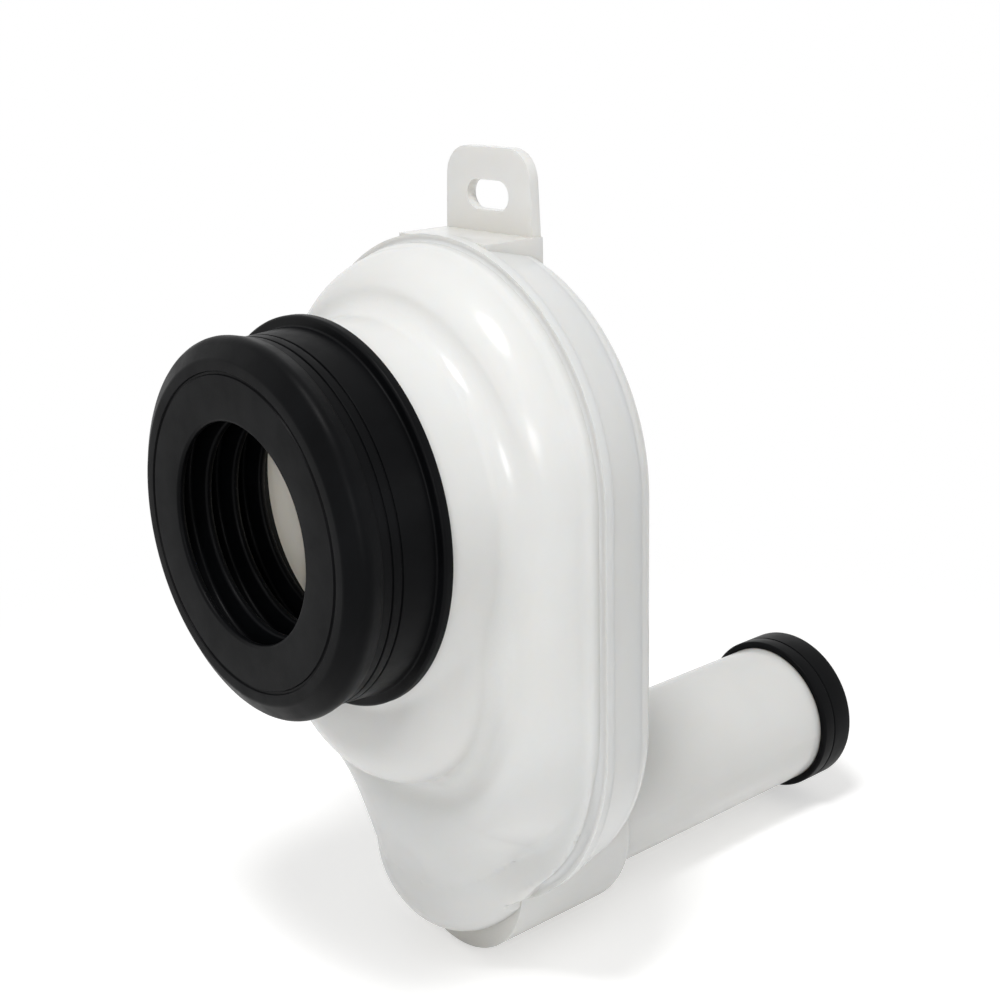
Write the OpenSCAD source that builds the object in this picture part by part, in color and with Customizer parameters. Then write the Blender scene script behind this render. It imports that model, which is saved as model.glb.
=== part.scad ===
// Urinal trap with a rubber inlet sleeve in front and a horizontal outlet spigot behind.
// The origin is the centre of the inlet's mouth, which faces -Y. The outlet leaves along +Y, and +Z is up.

/* [Body] */
// Radius of the front shell's outline, round the top and at the straight sides
body_r = 65; // [62:0.5:75]
// Height of the outline's top centre above the inlet axis
dome_rise = 4; // [0:0.5:10]
// Depth below the inlet axis at which the straight sides end
side_drop = 64; // [55:1:70]
// Radius of the rounded foot below the dome
foot_r = 25; // [23:0.5:28]
// How far the foot's front is set back from the front shell's flat face
foot_back = 5; // [3:0.5:6]
// Height of the foot's centre above the outlet axis
foot_rise = 2; // [0.5:0.5:4]
// Radius of the ball that rounds off the dome's lower half
bowl_r = 80; // [79:0.5:84]
// Drop from the inlet axis to the outlet axis
outlet_drop = 121; // [112:1:135]
// Distance from the inlet's mouth to the front shell's flat face
face_y = 48; // [44:0.5:54]
// Distance from the inlet's mouth to the seam between the shells
seam_y = 70; // [68:0.5:76]
// Distance from the inlet's mouth to the flat back
back_y = 93.5; // [90:0.5:105]
// Wall thickness of both shells
wall = 3; // [2.4:0.1:3.6]
// Radius of the front shell's rounded shoulder
shoulder_r = 20; // [14:0.5:20]
// Radius of the rear shell's rounded back edge
back_edge_r = 7; // [4:0.5:9]

/* [Seam rim] */
// How far the rim stands out past the front shell
rim_over = 3; // [1.5:0.1:5]
// Thickness of the rim along Y
rim_t = 3; // [2:0.1:5]

/* [Inlet collar] */
// Outer radius of the collar
collar_r = 52; // [51:0.5:54]
// Radius of the collar's bore
collar_bore_r = 45; // [43:0.5:46]
// Radius of the fillet where the collar meets the shoulder
valley_r = 8; // [5:0.5:10]

/* [Inlet chamber] */
// Radius of the rounded chamber under the collar
chamber_r = 46; // [44:0.5:48]
// Radius of the fillet where the chamber meets the flat face
chamber_valley_r = 5; // [3:0.5:6]
// Depth of the chamber's lower centre below the inlet axis
chamber_drop = 39; // [32:1:44]
// Gap along Y between the collar's mouth and the chamber's front
chamber_back = 2; // [1:0.5:5]

/* [Rubber sleeve] */
// Outer radius of the sleeve's front lip
lip_r = 52; // [50:0.5:54]
// Depth of the front lip along Y
lip_t = 9; // [8:0.5:11]
// Rounding of the lip's outer front edge
lip_edge_r = 4; // [2:0.5:5]
// Radius of the sealing ribs inside the sleeve
rib_bore_r = 30.5; // [27:0.5:33]
// Radius between the sealing ribs
sleeve_bore_r = 38; // [36:0.5:40]
// Number of sealing ribs, with the front lip's own edge
rib_count = 4; // [3:1:5]
// Thickness of one sealing rib
rib_t = 2.4; // [1.8:0.1:3]
// Outer radius of the sleeve just behind its lip
neck_r = 49.6; // [48:0.1:50]
// Outer radius of the rear flange
flange_r = 55; // [54:0.5:57]
// Thickness of the rear flange along Y
flange_t = 3; // [2:0.1:4]
// Distance from the inlet's mouth to the collar's mouth, where the flange seats
collar_y = 29; // [27:0.5:31]
// Length of the sleeve's spigot inside the collar
plug_len = 6; // [5:0.5:12]

/* [Outlet] */
// Outer radius of the outlet spigot
spigot_r = 25; // [24:0.5:27]
// Distance from the inlet's mouth to the spigot's end
spigot_end_y = 232; // [190:1:260]
// Radius of the housing where the spigot leaves the body
housing_r = 31.2; // [31:0.1:33]
// Distance from the inlet's mouth to the housing's end
housing_end_y = 120; // [112:1:130]

/* [Outlet ring] */
// Outer radius of the rubber ring
ring_r = 27.5; // [27.5:0.1:29.5]
// Length of the rubber ring along Y
ring_len = 15; // [12:0.5:20]
// Thickness of the ring's lip over the spigot's end
ring_lip = 2; // [1.5:0.1:3]

/* [Fixing lug] */
// Width of the lug at its foot
lug_w = 39; // [32:1:44]
// Height of the lug's top above the inlet axis
lug_top = 94.5; // [88:0.5:110]
// Thickness of the lug
lug_t = 3.2; // [2.4:0.1:5]
// Radius of the lug's top corners
lug_corner_r = 9; // [5:0.5:12]
// Length of the fixing slot along X
slot_len = 18; // [12:0.5:20]
// Width of the fixing slot
slot_w = 8.5; // [5:0.5:9]
// Distance from the lug's top to the slot's middle
slot_down = 13.5; // [11:0.5:14]

/* [Water seal] */
// Height of the weir above the outlet axis
weir_rise = 80; // [70:1:90]
// Depth of the water seal
seal_depth = 50; // [40:1:55]
// Thickness of the dividing wall
baffle_t = 3; // [2:0.1:3.5]
// Gap between pieces that are pushed together
fit_gap = 0.2; // [0.1:0.05:0.3]

/* [Hidden] */
$fn = 96;
eps = 0.01;
over = 1;
dome_z = dome_rise;
side_z = -side_drop;
outlet_z = -outlet_drop;
foot_z = outlet_z + foot_rise;
rim_r = body_r + rim_over;
foot_edge_r = 16;
bowl_back = 35;
bowl_rise = 19;
bowl_y = seam_y + bowl_back;
bowl_z = side_z + bowl_rise;
spigot_bore_r = spigot_r - wall;
housing_bore_r = housing_r - wall;
chamber_y = collar_y + chamber_back;
ledge_drop = 1.5;
ledge_z = dome_z + rim_r - ledge_drop;
ledge_len = back_y - seam_y - rim_t;
lug_taper = 3;
lug_top_w = lug_w - lug_taper;
slot_z = lug_top - slot_down;
weir_z = outlet_z + weir_rise;
dip_z = weir_z - seal_depth;
weir_gap = 6;
weir_y = seam_y + baffle_t + weir_gap;
ring_y = spigot_end_y + ring_lip - ring_len;
flange_y = collar_y - flange_t;
lip_cone = 0.8;
neck_flare = 1.5;
neck_groove_w = 0.7;
neck_groove_deep = 0.4;
neck_groove_step = 3;
face_groove_r = lip_r - 8.5;
face_groove_w = 0.8;
face_groove_deep = 0.6;
ring_groove_w = 1;
ring_groove_deep = 0.5;
white = [0.93, 0.93, 0.91];
black = [0.07, 0.07, 0.075];

// Turns a half section, drawn as radius and Y, round an axis along Y at height z.
// The sweep starts at +X and goes round by the foot, so 180 to 360 is the upper half.
module turned(z = 0, start = 0, sweep = 360) {
    translate([0, 0, z]) rotate([-90, 0, 0]) rotate([0, 0, start]) rotate_extrude(angle = sweep) children();
}

// Both halves of a section, mirrored in the plane X = 0.
module both_sides() {
    children();
    mirror([1, 0, 0]) children();
}

// Extrudes an outline drawn in X and Z from y0 to y1.
module along_y(y0, y1) {
    translate([0, y1, 0]) rotate([90, 0, 0]) linear_extrude(height = y1 - y0) children();
}

// Half section of a pan: flat at Y = flat, open at Y = open, with its outer edge rounded by edge.
module pan_section(r, flat, open, edge) {
    inward = open > flat ? 1 : -1;
    turn_y = flat + inward * edge;
    translate([0, min(flat, open)]) square([r - edge, abs(open - flat)]);
    translate([0, min(turn_y, open)]) square([r, abs(open - turn_y)]);
    intersection() {
        translate([r - edge, turn_y]) circle(r = edge);
        translate([r - edge, min(flat, turn_y)]) square([edge, edge]);
    }
}

// Pan with a round top and a round bottom joined by straight sides.
module pan(r, flat, open, edge) {
    turned(dome_z, 180, 180) pan_section(r, flat, open, edge);
    turned(side_z, 0, 180) pan_section(r, flat, open, edge);
    translate([0, 0, side_z]) linear_extrude(height = dome_z - side_z)
        both_sides() pan_section(r, flat, open, edge);
}

// Front dome, smaller by inset: a pan whose lower half is rounded off by a ball, with a round foot.
// The ball leaves the last of the outer shape whole, so that the seam has a face all round.
module dome(inset, open) {
    intersection() {
        pan(body_r - inset, face_y + inset, open, shoulder_r - inset);
        union() {
            translate([-body_r, 0, bowl_z]) cube([2 * body_r, 2 * seam_y, 2 * body_r]);
            translate([0, bowl_y, bowl_z]) sphere(r = bowl_r - inset);
            translate([-body_r, seam_y - wall + 2 * inset, side_z - body_r])
                cube([2 * body_r, seam_y, 2 * body_r]);
        }
    }
    turned(foot_z) pan_section(foot_r - inset, face_y + foot_back + inset, open, foot_edge_r - inset);
}

// The body's outline in X and Z at radius r, with the outlet's housing standing out below it.
module outline(r) {
    for (z = [dome_z, side_z]) translate([0, z]) circle(r = r);
    translate([-r, side_z]) square([2 * r, dome_z - side_z]);
    translate([0, outlet_z]) circle(r = housing_r + r - rim_r);
}

// Hangs a half section round the underside of the inlet chamber, and straight up its sides.
module chamber_sweep() {
    turned(-chamber_drop, 0, 180) children();
    translate([0, 0, -chamber_drop]) linear_extrude(height = chamber_drop) both_sides() children();
}

// Hollow fillet section between the chamber's wall and the flat face.
module chamber_valley_section() {
    difference() {
        translate([chamber_r - over, face_y - chamber_valley_r])
            square([chamber_valley_r + over, chamber_valley_r + over]);
        translate([chamber_r + chamber_valley_r, face_y - chamber_valley_r]) circle(r = chamber_valley_r);
    }
}

// Hollow fillet section between the collar's wall and the rounded shoulder behind it.
module collar_valley_section() {
    centre_r = body_r - shoulder_r + dome_rise / 2;
    centre_y = face_y + shoulder_r;
    reach = collar_r + valley_r - centre_r;
    valley_y = centre_y - sqrt(pow(shoulder_r + valley_r, 2) - reach * reach);
    difference() {
        polygon([
            [collar_r - over, valley_y],
            [collar_r + valley_r, valley_y],
            [centre_r, centre_y],
            [centre_r - over, centre_y]
        ]);
        translate([collar_r + valley_r, valley_y]) circle(r = valley_r);
    }
}

// Moulded front half: domed pan, collar and inlet chamber, open at the seam.
module front_shell() color(white) difference() {
    union() {
        dome(0, seam_y);
        turned() translate([0, collar_y]) square([collar_r, face_y + wall - collar_y]);
        turned() collar_valley_section();
        chamber_sweep() pan_section(chamber_r, chamber_y, face_y + wall, shoulder_r - wall);
        chamber_sweep() chamber_valley_section();
    }
    dome(wall, seam_y + over);
    chamber_sweep() pan_section(chamber_r - wall, chamber_y + wall, face_y + 2 * wall, shoulder_r - 2 * wall);
    turned() translate([0, collar_y - over]) square([collar_bore_r, face_y + 2 * wall - collar_y]);
}

// Fixing lug's outline in X and Z, with its foot inside the body's back.
module lug_outline() {
    corner_x = lug_top_w / 2 - lug_corner_r;
    corner_z = lug_top - lug_corner_r;
    foot = dome_z + body_r - 2 * wall - back_edge_r;
    polygon([
        [-lug_w / 2, foot],
        [lug_w / 2, foot],
        [lug_top_w / 2, corner_z],
        [-lug_top_w / 2, corner_z]
    ]);
    for (side = [-1, 1]) translate([side * corner_x, corner_z]) circle(r = lug_corner_r);
    translate([-corner_x, corner_z - eps]) square([2 * corner_x, lug_corner_r + eps]);
}

// Fixing slot's outline: a straight slot with round ends.
module slot_outline() {
    half = (slot_len - slot_w) / 2;
    for (side = [-1, 1]) translate([side * half, slot_z]) circle(r = slot_w / 2);
    translate([-half, slot_z - slot_w / 2]) square([2 * half, slot_w]);
}

// Moulded rear half: seam rim, back, outlet housing, spigot, weir and fixing lug.
module rear_shell() color(white) difference() {
    union() {
        difference() {
            union() {
                pan(body_r, back_y, seam_y, back_edge_r);
                along_y(seam_y, seam_y + rim_t) outline(rim_r);
                turned(outlet_z) pan_section(housing_r, housing_end_y, seam_y, back_edge_r);
                turned(outlet_z) translate([0, back_y]) square([spigot_r, spigot_end_y - back_y]);
                translate([-lug_w / 2, seam_y + rim_t, dome_z]) cube([lug_w, ledge_len, ledge_z - dome_z]);
                along_y(back_y - lug_t, back_y) lug_outline();
            }
            pan(body_r - wall, back_y - wall, seam_y - over, back_edge_r - wall);
            turned(outlet_z) translate([0, seam_y + rim_t])
                square([housing_bore_r, housing_end_y - wall - seam_y - rim_t]);
        }
        along_y(weir_y, weir_y + wall) intersection() {
            outline(body_r - wall / 2);
            translate([-body_r, outlet_z - housing_r]) square([2 * body_r, weir_rise + housing_r]);
        }
    }
    turned(outlet_z) translate([0, housing_end_y - 2 * wall]) square([spigot_bore_r, spigot_end_y]);
    along_y(back_y - lug_t - over, back_y + over) slot_outline();
}

// Rubber sleeve: front lip, ribbed bore, rear flange and the spigot that sits in the collar.
module inlet_seal() color(black) turned() difference() {
    union() {
        pan_section(lip_r, 0, lip_t / 2, lip_edge_r);
        polygon([[0, lip_t / 2], [lip_r, lip_t / 2], [neck_r + lip_cone, lip_t], [0, lip_t]]);
        polygon([[0, lip_t - eps], [neck_r, lip_t - eps], [neck_r + neck_flare, flange_y], [0, flange_y]]);
        translate([0, flange_y - eps]) square([flange_r, flange_t + eps]);
        translate([0, collar_y - eps]) square([collar_bore_r - fit_gap, plug_len + eps]);
    }
    translate([0, -over]) square([rib_bore_r, collar_y + plug_len + 2 * over]);
    rib_step = (collar_y - rib_t) / (rib_count - 1);
    for (i = [0 : rib_count - 1]) translate([0, i * rib_step + rib_t])
        square([sleeve_bore_r, i < rib_count - 1 ? rib_step - rib_t : plug_len + over]);
    for (i = [1, 2]) translate([neck_r - neck_groove_deep, lip_t + i * neck_groove_step])
        square([lip_r, neck_groove_w]);
    translate([face_groove_r, -over]) square([face_groove_w, over + face_groove_deep]);
}

// Rubber ring pushed over the spigot's end.
module outlet_ring() color(black) turned(outlet_z) difference() {
    translate([0, ring_y]) union() {
        pan_section(ring_r, ring_len, ring_len / 2, ring_lip);
        pan_section(ring_r, 0, ring_len / 2, ring_lip / 2);
    }
    translate([0, ring_y - over]) square([spigot_r + fit_gap, ring_len - ring_lip + over + fit_gap]);
    translate([0, ring_y - over]) square([spigot_bore_r, ring_len + 2 * over]);
    translate([ring_r - ring_groove_deep, ring_y + ring_len / 3]) square([ring_r, ring_groove_w]);
}

// Dividing wall that dips into the water, seated in the rear shell's mouth all round its top and sides.
module trap_baffle() color(white) along_y(seam_y, seam_y + baffle_t) intersection() {
    outline(body_r - wall);
    translate([-body_r, dip_z]) square([2 * body_r, dome_z + body_r - dip_z]);
}

front_shell();
rear_shell();
inlet_seal();
outlet_ring();
trap_baffle();
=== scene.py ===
"""The looks of the urinal trap: camera, light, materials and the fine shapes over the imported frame."""

import math

import bmesh
import bpy
import numpy as np
from mathutils import Matrix, Vector


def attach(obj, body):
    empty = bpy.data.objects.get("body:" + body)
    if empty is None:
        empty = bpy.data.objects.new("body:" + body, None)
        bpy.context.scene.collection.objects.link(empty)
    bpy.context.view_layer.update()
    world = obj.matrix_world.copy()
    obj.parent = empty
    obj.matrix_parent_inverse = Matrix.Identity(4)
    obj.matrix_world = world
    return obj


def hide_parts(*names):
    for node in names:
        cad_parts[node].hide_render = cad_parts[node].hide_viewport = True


# Metres in a millimetre, then sizes and places in millimetres, in the CAD's frame.
MM = 0.001
WALL = 3.0
BODY_R = 65.0
RIM_R = 68.0
HOUSING_R = 31.2
COLLAR_R = 52.0
COLLAR_BORE_R = 45.0
COLLAR_Y = 29.0
FACE_Y = 48.0
SEAM_Y = 70.0
TUCK = 1.4
DOME_Z = 4.0
CHAMBER_Z = -39.0
SIDE_Z = -64.0
FOOT_Z = -119.0
OUTLET_Z = -121.0
FLOOR_Z = -153.5
SOFT_EDGE = 0.7

# Cell of the dome's grid in millimetres, and steps round a turned piece and round a rounded corner.
GRID = 1.25
SEGMENTS = 192
ARC_STEPS = 6

# Strengths of the world's light and of the floor's own light.
FILL = 0.33
FLOOR_LIFT = 0.45

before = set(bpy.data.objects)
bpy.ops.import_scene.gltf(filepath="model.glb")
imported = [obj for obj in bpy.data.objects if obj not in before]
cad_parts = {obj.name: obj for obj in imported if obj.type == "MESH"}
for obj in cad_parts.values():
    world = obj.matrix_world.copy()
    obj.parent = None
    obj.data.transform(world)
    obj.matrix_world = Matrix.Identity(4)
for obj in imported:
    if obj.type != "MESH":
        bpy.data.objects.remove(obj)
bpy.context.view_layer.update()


# Camera at the photograph's angle, in millimetres and degrees.
def add_camera():
    azimuth, elevation, roll = (math.radians(a) for a in (49.278, 17.001, -1.444))
    distance = 448.857
    target = Vector((37.24, 60.0, 4.577))
    focal_px = 1655.666
    photo_px = 1000.0
    sensor_width = 36.0
    back = Vector(
        (
            math.sin(azimuth) * math.cos(elevation),
            -math.cos(azimuth) * math.cos(elevation),
            math.sin(elevation),
        )
    )
    right = (-back).cross(Vector((0, 0, 1))).normalized()
    up = right.cross(-back)
    side = right * math.cos(roll) + up * math.sin(roll)
    top = up * math.cos(roll) - right * math.sin(roll)
    place = (target + back * distance) * MM
    data = bpy.data.cameras.new("camera")
    data.sensor_width = sensor_width
    data.lens = focal_px * sensor_width / photo_px
    data.clip_start = 0.01
    data.clip_end = 20.0
    camera = bpy.data.objects.new("camera", data)
    camera.matrix_world = Matrix(
        (
            (side.x, top.x, back.x, place.x),
            (side.y, top.y, back.y, place.y),
            (side.z, top.z, back.z, place.z),
            (0, 0, 0, 1),
        )
    )
    bpy.context.collection.objects.link(camera)
    bpy.context.scene.camera = camera


def new_material(name):
    material = bpy.data.materials.new(name)
    material.use_nodes = True
    tree = material.node_tree
    return material, tree, tree.nodes["Principled BSDF"]


def noise(tree, scale, detail, roughness=0.55):
    """A noise node in the object's own coordinates, where scale counts its waves per metre."""
    coords = tree.nodes.get("Object coords")
    if coords is None:
        coords = tree.nodes.new("ShaderNodeTexCoord")
        coords.name = "Object coords"
    node = tree.nodes.new("ShaderNodeTexNoise")
    node.inputs["Scale"].default_value = scale
    node.inputs["Detail"].default_value = detail
    node.inputs["Roughness"].default_value = roughness
    tree.links.new(coords.outputs["Object"], node.inputs["Vector"])
    return node


def ramp(tree, source, low, high, start=0.3, end=0.7):
    """A colour that runs from low to high as source runs from start to end."""
    node = tree.nodes.new("ShaderNodeValToRGB")
    node.color_ramp.elements[0].position = start
    node.color_ramp.elements[0].color = low
    node.color_ramp.elements[1].position = end
    node.color_ramp.elements[1].color = high
    tree.links.new(source, node.inputs["Fac"])
    return node


def bump(tree, height, strength, distance, normal=None):
    """A bump as deep as distance, in metres, on top of the normal of another bump, if any."""
    node = tree.nodes.new("ShaderNodeBump")
    node.inputs["Strength"].default_value = strength
    node.inputs["Distance"].default_value = distance
    tree.links.new(height, node.inputs["Height"])
    if normal is not None:
        tree.links.new(normal, node.inputs["Normal"])
    return node


def grey(value):
    return (value, value, value, 1.0)


# White glossy moulding: a faint cloudiness, soft flow waves, fine scuffs in the gloss and painted shade in
# the folds.
def plastic_material():
    material, tree, shader = new_material("white_plastic")
    cream = (0.79, 0.785, 0.765, 1)
    white = (0.83, 0.828, 0.815, 1)
    fold_shade_tint = (0.62, 0.60, 0.55, 1)
    cloud = noise(tree, scale=14.0, detail=3.0)
    tint = ramp(tree, cloud.outputs["Fac"], cream, white)
    # Painted shade: ambient occlusion multiplies the base colour towards warm grey in creases, folds and
    # recesses.
    fold = tree.nodes.new("ShaderNodeAmbientOcclusion")
    fold.inputs["Distance"].default_value = 0.02
    fold.samples = 8
    shade = ramp(tree, fold.outputs["AO"], fold_shade_tint, grey(1), end=0.85)
    fold_shade_mix = tree.nodes.new("ShaderNodeMix")
    fold_shade_mix.data_type = "RGBA"
    fold_shade_mix.blend_type = "MULTIPLY"
    fold_shade_mix.inputs["Factor"].default_value = 0.75
    tree.links.new(tint.outputs["Color"], fold_shade_mix.inputs["A"])
    tree.links.new(shade.outputs["Color"], fold_shade_mix.inputs["B"])
    tree.links.new(fold_shade_mix.outputs["Result"], shader.inputs["Base Color"])
    gloss = noise(tree, scale=60.0, detail=6.0, roughness=0.6)
    rough = ramp(tree, gloss.outputs["Fac"], grey(0.16), grey(0.26))
    tree.links.new(rough.outputs["Color"], shader.inputs["Roughness"])
    waves = noise(tree, scale=26.0, detail=2.0)
    wave = bump(tree, waves.outputs["Fac"], strength=0.12, distance=0.0006)
    grains = noise(tree, scale=900.0, detail=3.0)
    grain = bump(tree, grains.outputs["Fac"], strength=0.04, distance=0.0001, normal=wave.outputs["Normal"])
    tree.links.new(grain.outputs["Normal"], shader.inputs["Normal"])
    shader.inputs["IOR"].default_value = 1.5
    shader.inputs["Subsurface Weight"].default_value = 0.25
    shader.inputs["Subsurface Radius"].default_value = (0.008, 0.006, 0.0045)
    shader.inputs["Subsurface Scale"].default_value = 1.0
    return material


# Black moulded rubber: dusty bloom, satin sheen and a fine grain.
def rubber_material():
    material, tree, shader = new_material("black_rubber")
    black = (0.0012, 0.0013, 0.0016, 1)
    dusty = (0.0035, 0.0038, 0.0045, 1)
    dust = noise(tree, scale=35.0, detail=6.0, roughness=0.65)
    tint = ramp(tree, dust.outputs["Fac"], black, dusty)
    tree.links.new(tint.outputs["Color"], shader.inputs["Base Color"])
    patches = noise(tree, scale=90.0, detail=5.0, roughness=0.6)
    rough = ramp(tree, patches.outputs["Fac"], grey(0.33), grey(0.50))
    tree.links.new(rough.outputs["Color"], shader.inputs["Roughness"])
    swells = noise(tree, scale=55.0, detail=3.0)
    swell = bump(tree, swells.outputs["Fac"], strength=0.15, distance=0.0005)
    grains = noise(tree, scale=1500.0, detail=4.0)
    grain = bump(tree, grains.outputs["Fac"], strength=0.15, distance=0.0001, normal=swell.outputs["Normal"])
    tree.links.new(grain.outputs["Normal"], shader.inputs["Normal"])
    shader.inputs["IOR"].default_value = 1.2
    shader.inputs["Specular IOR Level"].default_value = 0.3
    return material


# Signed distances, in millimetres: below 0 inside, above 0 outside.
def across(x, z, low, high):
    """Distance in X and Z from an upright segment at X = 0."""
    return np.hypot(x, z - np.clip(z, low, high))


def rounded_pan(radial, y, radius, flat, edge):
    """A pan that opens towards +Y, with its flat face at Y = flat and its rim rounded by edge."""
    side = radial - (radius - edge)
    front = flat + edge - y
    corner = np.hypot(np.maximum(side, 0), np.maximum(front, 0))
    return corner + np.minimum(np.maximum(side, front), 0) - edge


def join_round(a, b, fillet):
    """Union with a hollow fillet of that radius. It swells where both surfaces lie closer than that."""
    u = np.maximum(fillet - a, 0)
    v = np.maximum(fillet - b, 0)
    return np.maximum(fillet, np.minimum(a, b)) - np.hypot(u, v)


def cut_round(a, b, edge):
    """Intersection with an edge rounded to that radius."""
    u = np.maximum(edge + a, 0)
    v = np.maximum(edge + b, 0)
    return np.minimum(-edge, np.maximum(a, b)) + np.hypot(u, v)


def rim_outline(x, z):
    """Distance in X and Z from the rear shell's rim, which the front shell never overhangs."""
    return np.minimum(across(x, z, SIDE_Z, DOME_Z) - RIM_R, across(x, z, OUTLET_Z, OUTLET_Z) - HOUSING_R)


def dome_distance(x, y, z):
    """The front shell's outside: pan, ball, foot, inlet chamber and collar, run together."""
    valley_r = 52.0
    valley_width = 7.0
    valley_depth = 3.0
    ball_r = 80.0
    ball_y = 105.0
    ball_z = -45.0
    foot_back = 5.0
    chamber_back = 2.0
    rim_inset = 0.3
    body_outline = across(x, z, SIDE_Z, DOME_Z)
    chamber_outline = across(x, z, CHAMBER_Z, 0.0)
    foot_outline = across(x, z, FOOT_Z, FOOT_Z)
    collar_outline = across(x, z, 0.0, 0.0)
    valley = valley_depth * np.exp(-(((chamber_outline - valley_r) / valley_width) ** 2))
    pan = rounded_pan(body_outline, y - valley, radius=BODY_R, flat=FACE_Y, edge=20.0)
    ball = np.sqrt(x**2 + (y - ball_y) ** 2 + np.maximum(ball_z - z, 0) ** 2) - ball_r
    plate = cut_round(body_outline - BODY_R, SEAM_Y - WALL - y, edge=0.6)
    body = join_round(cut_round(pan, ball, edge=6.0), plate, fillet=2.5)
    foot = rounded_pan(foot_outline, y, radius=25.0, flat=FACE_Y + foot_back, edge=16.0)
    body = np.maximum(join_round(body, foot, fillet=20.0), rim_outline(x, z) + rim_inset)
    chamber = rounded_pan(chamber_outline, y, radius=46.0, flat=COLLAR_Y + chamber_back, edge=15.0)
    body = join_round(body, chamber, fillet=4.5)
    collar = rounded_pan(collar_outline, y, radius=COLLAR_R, flat=COLLAR_Y, edge=0.8)
    return join_round(body, collar, fillet=6.5)


def front_shell_distance(x, y, z):
    """The hollow front shell, open at the seam and at the collar's mouth."""
    outside = dome_distance(x, y, z)
    bore = cut_round(across(x, z, 0.0, 0.0) - COLLAR_BORE_R, y - FACE_Y - 2 * WALL, edge=0.8)
    hollow = np.minimum(outside + WALL, bore)
    return np.maximum(cut_round(outside, -hollow, edge=0.7), y - SEAM_Y - TUCK)


def mesh_from_distance(name, distance, low, high, step):
    """Meshes a distance's zero surface with one vertex in each grid cell that it crosses, drawn onto it."""
    draws = 6
    axes = [np.arange(a - 1.5 * step, b + 2 * step, step) for a, b in zip(low, high)]
    x, y, z = np.meshgrid(*axes, indexing="ij")
    field = distance(x, y, z)
    inside = field < 0
    halves = (slice(None, -1), slice(1, None))
    corners = [inside[i, j, k] for i in halves for j in halves for k in halves]
    count = sum(c.astype(np.int8) for c in corners)
    cells = (count > 0) & (count < 8)
    index = np.full(cells.shape, -1, dtype=np.int64)
    index[cells] = np.arange(np.count_nonzero(cells))
    where = np.argwhere(cells)
    points = np.stack([axes[i][where[:, i]] + step / 2 for i in range(3)], axis=1)
    for _ in range(draws):
        points = drawn_onto(points, distance, step)
    faces = []
    for axis in range(3):
        b, c = (axis + 1) % 3, (axis + 2) % 3
        lower = np.take(inside, range(inside.shape[axis] - 1), axis)
        upper = np.take(inside, range(1, inside.shape[axis]), axis)
        edge = lower != upper
        spots = np.argwhere(edge)
        spots = spots[(spots[:, b] > 0) & (spots[:, c] > 0)]
        flips = upper[tuple(spots.T)]
        ring = []
        for back_b, back_c in ((1, 1), (0, 1), (0, 0), (1, 0)):
            cell = spots.copy()
            cell[:, b] -= back_b
            cell[:, c] -= back_c
            ring.append(index[tuple(cell.T)])
        quads = np.stack(ring, axis=1)
        quads[flips] = quads[flips][:, ::-1]
        faces.append(quads)
    faces = np.concatenate(faces)
    mesh = bpy.data.meshes.new(name)
    mesh.from_pydata((points * MM).tolist(), [], faces.tolist())
    mesh.validate()
    mesh.normals_split_custom_set_from_vertices(slope(points, distance).tolist())
    return placed(name, mesh)


def slope(points, distance):
    """Unit vectors in which the distance grows fastest."""
    reach = 0.05
    columns = []
    for axis in range(3):
        shift = np.zeros(3)
        shift[axis] = reach
        ahead = distance(*(points + shift).T)
        behind = distance(*(points - shift).T)
        columns.append(ahead - behind)
    vectors = np.stack(columns, axis=1)
    return vectors / np.maximum(np.linalg.norm(vectors, axis=1, keepdims=True), 1e-9)


def drawn_onto(points, distance, step):
    """Moves points towards the zero surface, by half a grid step at most."""
    move = np.clip(distance(*points.T), -step / 2, step / 2)
    return points - slope(points, distance) * move[:, None]


def placed(name, mesh):
    piece = bpy.data.objects.new(name, mesh)
    bpy.context.collection.objects.link(piece)
    return piece


def rounded_profile(corners):
    """A closed section of (radius, y, rounding) corners, with each corner turned into an arc."""
    points = []
    for n, (r, y, rounding) in enumerate(corners):
        here = Vector((r, y))
        before = Vector(corners[n - 1][:2]) - here
        after = Vector(corners[(n + 1) % len(corners)][:2]) - here
        if rounding == 0:
            points.append(here)
            continue
        half = before.angle(after) / 2
        reach = rounding / math.tan(half)
        start = here + before.normalized() * reach
        end = here + after.normalized() * reach
        middle = here + (before.normalized() + after.normalized()).normalized() * rounding / math.sin(half)
        first = start - middle
        turn = first.angle_signed(end - middle)
        for i in range(ARC_STEPS + 1):
            spoke = first.copy()
            spoke.rotate(Matrix.Rotation(-turn * i / ARC_STEPS, 2))
            points.append(middle + spoke)
    return points


def turned_piece(name, corners, axis_z):
    """Turns a closed rounded section round an axis along Y."""
    section = rounded_profile(corners)
    vertices = []
    for i in range(SEGMENTS):
        angle = 2 * math.pi * i / SEGMENTS
        for r, y in section:
            vertices.append((r * math.cos(angle) * MM, y * MM, (axis_z + r * math.sin(angle)) * MM))
    faces = []
    size = len(section)
    for i in range(SEGMENTS):
        for j in range(size):
            a = i * size + j
            b = i * size + (j + 1) % size
            c = (i + 1) % SEGMENTS * size + (j + 1) % size
            d = (i + 1) % SEGMENTS * size + j
            faces.append((a, b, c, d))
    return closed_piece(name, vertices, faces)


def closed_piece(name, vertices, faces):
    """A closed mesh with its faces turned outwards and its curved parts shaded smooth."""
    sharp_from = math.radians(32)
    mesh = bpy.data.meshes.new(name)
    mesh.from_pydata(vertices, [], faces)
    mesh.validate()
    piece = placed(name, mesh)
    bm = bmesh.new()
    bm.from_mesh(mesh)
    bmesh.ops.recalc_face_normals(bm, faces=bm.faces)
    bm.to_mesh(mesh)
    bm.free()
    mesh.polygons.foreach_set("use_smooth", [True] * len(mesh.polygons))
    mesh.set_sharp_from_angle(angle=sharp_from)
    return piece


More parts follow.
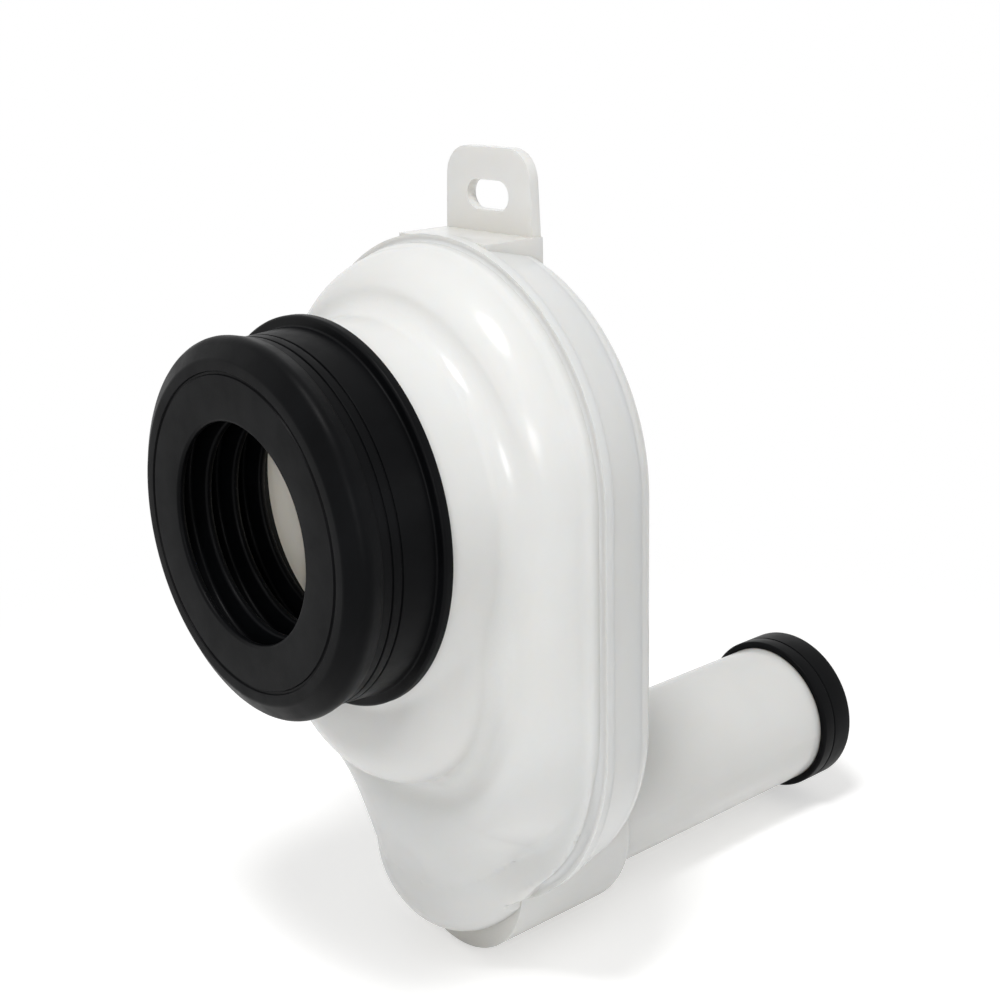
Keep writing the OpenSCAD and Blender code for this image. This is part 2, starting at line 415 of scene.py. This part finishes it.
# Rubber sleeve: lip with a rounded front edge, ribs inside, fine grooves in the neck and a thin flange.
def make_sleeve():
    rib_r = 30.5
    rib_t = 2.4
    ribs = 4
    rib_step = (COLLAR_Y - rib_t) / (ribs - 1)
    bore_r = 38.0
    plug_r = 44.8
    plug_end_y = COLLAR_Y + 6.0
    face_groove_in_r = 43.0
    face_groove_out_r = 44.15
    face_groove_slant = 0.25
    face_groove_deep = 0.5
    lip_flat_r = 47.2
    lip_r = 53.2
    lip_y = 3.6
    lip_end_y = 9.0
    neck_r = 51.1
    neck_end_r = 51.9
    neck_start_y = 9.3
    neck_slope = 0.05
    neck_groove_deep = 0.45
    neck_groove_w = 0.7
    neck_groove_slant = 0.1
    flange_r = 55.0
    flange_y = 26.0
    corners = [(rib_r, 0.0, 1.0), (face_groove_in_r, 0.0, 0)]
    corners.append((face_groove_in_r + face_groove_slant, face_groove_deep, 0.15))
    corners.append((face_groove_out_r - face_groove_slant, face_groove_deep, 0.15))
    corners += [(face_groove_out_r, 0.0, 0.15), (lip_flat_r, 0.0, 2.0), (lip_r, lip_y, 3.2)]
    corners += [(neck_end_r, lip_end_y, 0.5), (neck_r, neck_start_y, 0.3)]
    for y in (12.0, 15.0):
        radius = neck_r + (y - neck_start_y) * neck_slope
        floor_r = radius - neck_groove_deep
        end_y = y + neck_groove_w
        corners += [(radius, y, 0.2), (floor_r, y + neck_groove_slant, 0.1)]
        corners += [(floor_r, end_y - neck_groove_slant, 0.1), (radius, end_y, 0.2)]
    corners += [(neck_end_r, flange_y, 0.6), (flange_r, flange_y, 0.9), (flange_r, COLLAR_Y, 0.6)]
    corners += [(plug_r, COLLAR_Y, 0.4), (plug_r, plug_end_y, 0.8), (bore_r, plug_end_y, 0.8)]
    for i in reversed(range(ribs)):
        y = i * rib_step
        corners += [(bore_r, y + rib_t, 1.2), (rib_r, y + rib_t, 1.0)]
        if i > 0:
            corners += [(rib_r, y, 1.0), (bore_r, y, 1.2)]
    return turned_piece("sleeve", corners, 0.0)


def swept_piece(name, section):
    """Sweeps a closed section of (radius, y) points round the body's outline, from foot to foot."""
    foot_angle = -68
    angle_step = 2
    path = [(angle, SIDE_Z) for angle in range(foot_angle, 1, angle_step)]
    path += [(angle, DOME_Z) for angle in range(0, 181, angle_step)]
    path += [(angle, SIDE_Z) for angle in range(180, 181 - foot_angle, angle_step)]
    vertices = []
    for angle, middle in path:
        turn = math.radians(angle)
        for r, y in section:
            vertices.append((r * math.cos(turn) * MM, y * MM, (middle + r * math.sin(turn)) * MM))
    size = len(section)
    faces = []
    for i in range(len(path) - 1):
        for j in range(size):
            a = i * size + j
            b = i * size + (j + 1) % size
            faces.append((a, b, b + size, a + size))
    faces.append(tuple(range(size))[::-1])
    faces.append(tuple(range((len(path) - 1) * size, len(path) * size)))
    return closed_piece(name, vertices, faces)


# Hollow fillet in the corner between the front shell's wall and the rear shell's rim.
def make_seam_fillet():
    fillet = 2.0
    into_wall = 0.6
    into_rim = 0.5
    section = []
    for i in range(ARC_STEPS + 1):
        turn = math.pi / 2 * i / ARC_STEPS
        section.append((BODY_R + fillet * (1 - math.cos(turn)), SEAM_Y - fillet * (1 - math.sin(turn))))
    section.append((BODY_R - into_wall, SEAM_Y + into_rim))
    return swept_piece("seam_fillet", section)


# Draft of the rear shell's side, from the rim to the rounded back edge.
def make_side_draft():
    rim_end_y = 72.2
    back_round_y = 86.6
    skin = 0.02
    into_wall = 1.0
    section = [(RIM_R - skin, rim_end_y), (BODY_R + skin, back_round_y)]
    section += [(BODY_R - into_wall, back_round_y - into_wall), (BODY_R - into_wall, rim_end_y)]
    return swept_piece("side_draft", section)


# Rubber ring on the spigot's end, with a fine groove round its outside and a lip over the end.
def make_ring():
    ring_r = 27.5
    inner_r = 25.2
    lip_bore_r = 22.0
    start_y = 219.0
    spigot_end_y = 232.0
    end_y = 234.0
    groove_r = 27.2
    groove_y = 224.0
    groove_end_y = 224.8
    groove_slant = 0.15
    corners = [(inner_r, start_y, 0.3), (ring_r, start_y, 0.9), (ring_r, groove_y, 0.2)]
    corners += [(groove_r, groove_y + groove_slant, 0.1), (groove_r, groove_end_y - groove_slant, 0.1)]
    corners += [(ring_r, groove_end_y, 0.2), (ring_r, end_y, 1.6), (lip_bore_r, end_y, 0.5)]
    corners += [(lip_bore_r, spigot_end_y, 0.3), (inner_r, spigot_end_y, 0.1)]
    return turned_piece("end_ring", corners, OUTLET_Z)


def stand_for(piece, node, material):
    piece.data.materials.append(material)
    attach(piece, "root")
    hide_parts(node)


def soften_edges(node, width):
    """Rounds a CAD node's sharp edges a little, so that they catch the light as moulded edges do."""
    sharp_from = math.radians(38)
    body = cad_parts[node]
    edges = body.modifiers.new("edges", "BEVEL")
    edges.width = width
    edges.segments = 3
    edges.limit_method = "ANGLE"
    edges.angle_limit = sharp_from
    edges.harden_normals = True


def dress(node, material):
    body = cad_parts[node]
    body.data.materials.clear()
    body.data.materials.append(material)


def area_light(name, place, target, size, power):
    """A square white lamp, with its place, target and size in metres and its power in watts."""
    data = bpy.data.lights.new(name, "AREA")
    data.energy = power
    data.size = size
    light = bpy.data.objects.new(name, data)
    light.location = place
    light.rotation_euler = (Vector(target) - Vector(place)).to_track_quat("-Z", "Y").to_euler()
    bpy.context.collection.objects.link(light)


def wall_light(name, place, power):
    """A small lamp that the camera doesn't see, for the daylight that thin white walls let inside."""
    data = bpy.data.lights.new(name, "POINT")
    data.energy = power
    data.color = (1.0, 0.96, 0.87)
    data.shadow_soft_size = 0.008
    light = bpy.data.objects.new(name, data)
    light.location = place
    light.visible_camera = False
    bpy.context.collection.objects.link(light)


def camera_share(tree):
    """1 for rays from the camera, from gloss and through glass, which see the backdrop white."""
    path = tree.nodes.new("ShaderNodeLightPath")
    share = path.outputs["Is Camera Ray"]
    for kind in ("Is Glossy Ray", "Is Transmission Ray"):
        either = tree.nodes.new("ShaderNodeMath")
        either.operation = "MAXIMUM"
        tree.links.new(share, either.inputs[0])
        tree.links.new(path.outputs[kind], either.inputs[1])
        share = either.outputs[0]
    return share


def mixed(tree, share, first, second):
    """The first shader where share is 0, and the second where it is 1."""
    mix = tree.nodes.new("ShaderNodeMixShader")
    tree.links.new(share, mix.inputs[0])
    tree.links.new(first, mix.inputs[1])
    tree.links.new(second, mix.inputs[2])
    return mix.outputs[0]


def add_world():
    world = bpy.data.worlds.new("studio")
    bpy.context.scene.world = world
    world.use_nodes = True
    tree = world.node_tree
    tree.nodes.clear()
    out = tree.nodes.new("ShaderNodeOutputWorld")
    fill = tree.nodes.new("ShaderNodeBackground")
    fill.inputs["Strength"].default_value = FILL
    fill.inputs["Color"].default_value = (1.0, 0.99, 0.965, 1)
    seen = tree.nodes.new("ShaderNodeBackground")
    seen.inputs["Strength"].default_value = 1.0
    seen.inputs["Color"].default_value = (1, 1, 1, 1)
    tree.links.new(mixed(tree, camera_share(tree), fill.outputs[0], seen.outputs[0]), out.inputs["Surface"])


def add_floor(height):
    """A pale floor that keeps the object's shadow and runs out to plain white."""
    far = 3.0
    centre_y = 0.09
    fade_start = 0.12
    fade_end = 0.42
    mesh = bpy.data.meshes.new("floor")
    mesh.from_pydata(
        [(-far, -far, height), (far, -far, height), (far, far, height), (-far, far, height)],
        [],
        [(0, 1, 2, 3)],
    )
    floor = placed("floor", mesh)
    material, tree, shader = new_material("floor")
    shader.inputs["Base Color"].default_value = (0.9, 0.9, 0.9, 1)
    shader.inputs["Roughness"].default_value = 0.9
    shader.inputs["Specular IOR Level"].default_value = 0.1
    white = tree.nodes.new("ShaderNodeEmission")
    white.inputs["Strength"].default_value = 1.0
    lift = tree.nodes.new("ShaderNodeEmission")
    lift.inputs["Strength"].default_value = FLOOR_LIFT
    lifted = tree.nodes.new("ShaderNodeAddShader")
    tree.links.new(shader.outputs[0], lifted.inputs[0])
    tree.links.new(lift.outputs[0], lifted.inputs[1])
    coords = tree.nodes.new("ShaderNodeTexCoord")
    centre = tree.nodes.new("ShaderNodeMapping")
    centre.inputs["Location"].default_value = (0, -centre_y, -height)
    tree.links.new(coords.outputs["Object"], centre.inputs["Vector"])
    length = tree.nodes.new("ShaderNodeVectorMath")
    length.operation = "LENGTH"
    tree.links.new(centre.outputs["Vector"], length.inputs[0])
    fade = tree.nodes.new("ShaderNodeMapRange")
    fade.interpolation_type = "SMOOTHSTEP"
    fade.inputs["From Min"].default_value = fade_start
    fade.inputs["From Max"].default_value = fade_end
    tree.links.new(length.outputs["Value"], fade.inputs["Value"])
    seen = mixed(tree, fade.outputs["Result"], lifted.outputs[0], white.outputs[0])
    out = tree.nodes["Material Output"]
    tree.links.new(mixed(tree, camera_share(tree), shader.outputs[0], seen), out.inputs["Surface"])
    mesh.materials.append(material)


add_camera()
plastic = plastic_material()
rubber = rubber_material()
grid_low = (-RIM_R, COLLAR_Y, OUTLET_Z - HOUSING_R)
grid_high = (RIM_R, SEAM_Y + TUCK, DOME_Z + RIM_R)
front = mesh_from_distance("front_dome", front_shell_distance, grid_low, grid_high, GRID)
stand_for(front, "front_shell", plastic)
stand_for(make_sleeve(), "inlet_seal", rubber)
stand_for(make_ring(), "outlet_ring", rubber)
for trim in (make_seam_fillet(), make_side_draft()):
    trim.data.materials.append(plastic)
    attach(trim, "root")
for node_name in ("rear_shell", "trap_baffle"):
    dress(node_name, plastic)
    soften_edges(node_name, SOFT_EDGE * MM)

add_world()
add_floor(FLOOR_Z * MM)
area_light("key", place=(0.22, -0.26, 0.90), target=(0, 0.05, 0), size=0.22, power=5.4)
area_light("side", place=(0.80, 0.35, 0.25), target=(0, 0.08, 0), size=0.4, power=0.5)
area_light("left", place=(-0.6, -0.5, 0.45), target=(0, 0.0, 0.02), size=0.35, power=0.25)
area_light("front", place=(0.50, -0.46, 0.17), target=(0, 0.05, 0), size=0.20, power=1.0)
wall_light("through_walls", place=(-0.01, 0.058, -0.01), power=0.010)

bpy.context.scene.view_settings.view_transform = "Standard"
